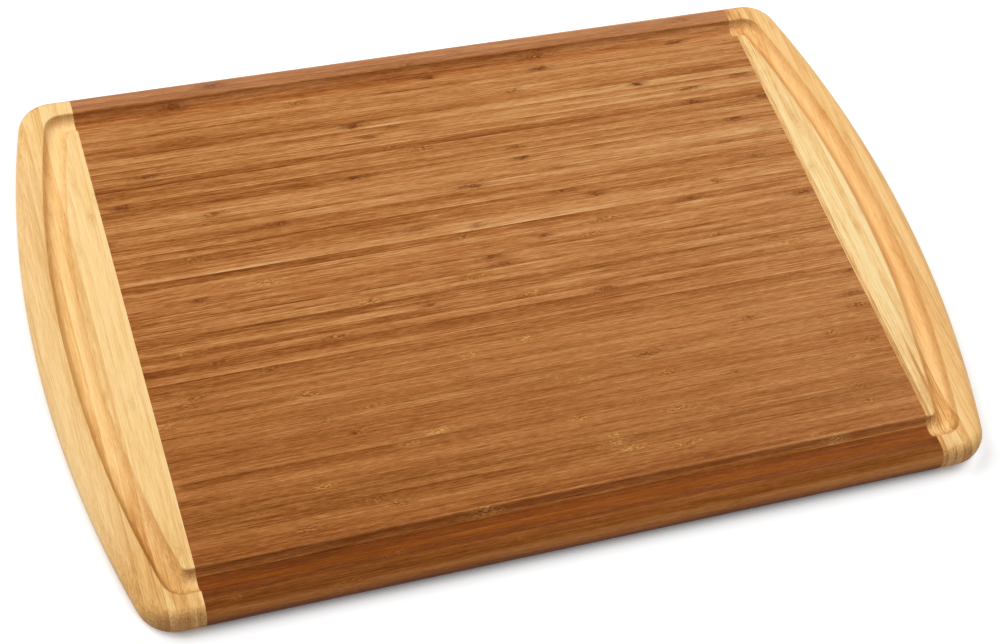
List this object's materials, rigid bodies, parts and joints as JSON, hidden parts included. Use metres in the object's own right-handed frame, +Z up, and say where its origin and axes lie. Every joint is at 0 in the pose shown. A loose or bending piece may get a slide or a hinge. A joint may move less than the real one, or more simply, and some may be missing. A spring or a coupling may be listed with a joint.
{
  "type": "cutting board",
  "caption": "Flat laminated bamboo cutting board: dark centre strips, light cross-laid ends that bow outwards, rounded edges and a juice groove round the top.",
  "frame": {"origin": "middle of the underside, on the surface that the board lies on", "axes": "+X along the board, +Y across it away from the viewer, +Z up out of the grooved face"},
  "size_m": [0.457, 0.305, 0.016],
  "materials": {
    "dark_bamboo": "oiled satin, carbonised",
    "light_bamboo": "oiled satin, natural",
    "dowel_wood": "plain"
  },
  "bodies": {
    "root": {"centre_strips_01": "dark_bamboo", "centre_strips_02": "dark_bamboo", "centre_strips_03": "dark_bamboo", "centre_strips_04": "dark_bamboo", "centre_strips_05": "dark_bamboo", "centre_strips_06": "dark_bamboo", "centre_strips_07": "dark_bamboo", "centre_strips_08": "dark_bamboo", "centre_strips_09": "dark_bamboo", "centre_strips_10": "dark_bamboo", "centre_strips_11": "dark_bamboo", "centre_strips_12": "dark_bamboo", "centre_strips_13": "dark_bamboo", "centre_strips_14": "dark_bamboo", "centre_strips_15": "dark_bamboo", "centre_strips_16": "dark_bamboo", "centre_strips_17": "dark_bamboo", "centre_strips_18": "dark_bamboo", "centre_strips_19": "dark_bamboo", "centre_strips_20": "dark_bamboo", "centre_strips_21": "dark_bamboo", "centre_strips_22": "dark_bamboo", "centre_strips_23": "dark_bamboo", "centre_strips_24": "dark_bamboo", "centre_strips_25": "dark_bamboo", "centre_strips_26": "dark_bamboo", "centre_strips_27": "dark_bamboo", "centre_strips_28": "dark_bamboo", "centre_strips_29": "dark_bamboo", "centre_strips_30": "dark_bamboo", "centre_strips_31": "dark_bamboo", "centre_strips_32": "dark_bamboo", "centre_strips_33": "dark_bamboo", "centre_strips_34": "dark_bamboo", "centre_strips_35": "dark_bamboo", "centre_strips_36": "dark_bamboo", "centre_strips_37": "dark_bamboo", "left_end_strip_01": "light_bamboo", "left_end_strip_02": "light_bamboo", "left_end_strip_03": "light_bamboo", "left_end_strip_04": "light_bamboo", "left_end_strip_05": "light_bamboo", "left_end_strip_06": "light_bamboo", "left_end_strip_07": "light_bamboo", "left_end_strip_08": "light_bamboo", "left_end_strip_09": "light_bamboo", "left_end_strip_10": "light_bamboo", "right_end_strip_01": "light_bamboo", "right_end_strip_02": "light_bamboo", "right_end_strip_03": "light_bamboo", "right_end_strip_04": "light_bamboo", "right_end_strip_05": "light_bamboo", "right_end_strip_06": "light_bamboo", "right_end_strip_07": "light_bamboo", "right_end_strip_08": "light_bamboo", "right_end_strip_09": "light_bamboo", "right_end_strip_10": "light_bamboo", "left_dowels": "dowel_wood", "right_dowels": "dowel_wood"}
  },
  "joints": []
}
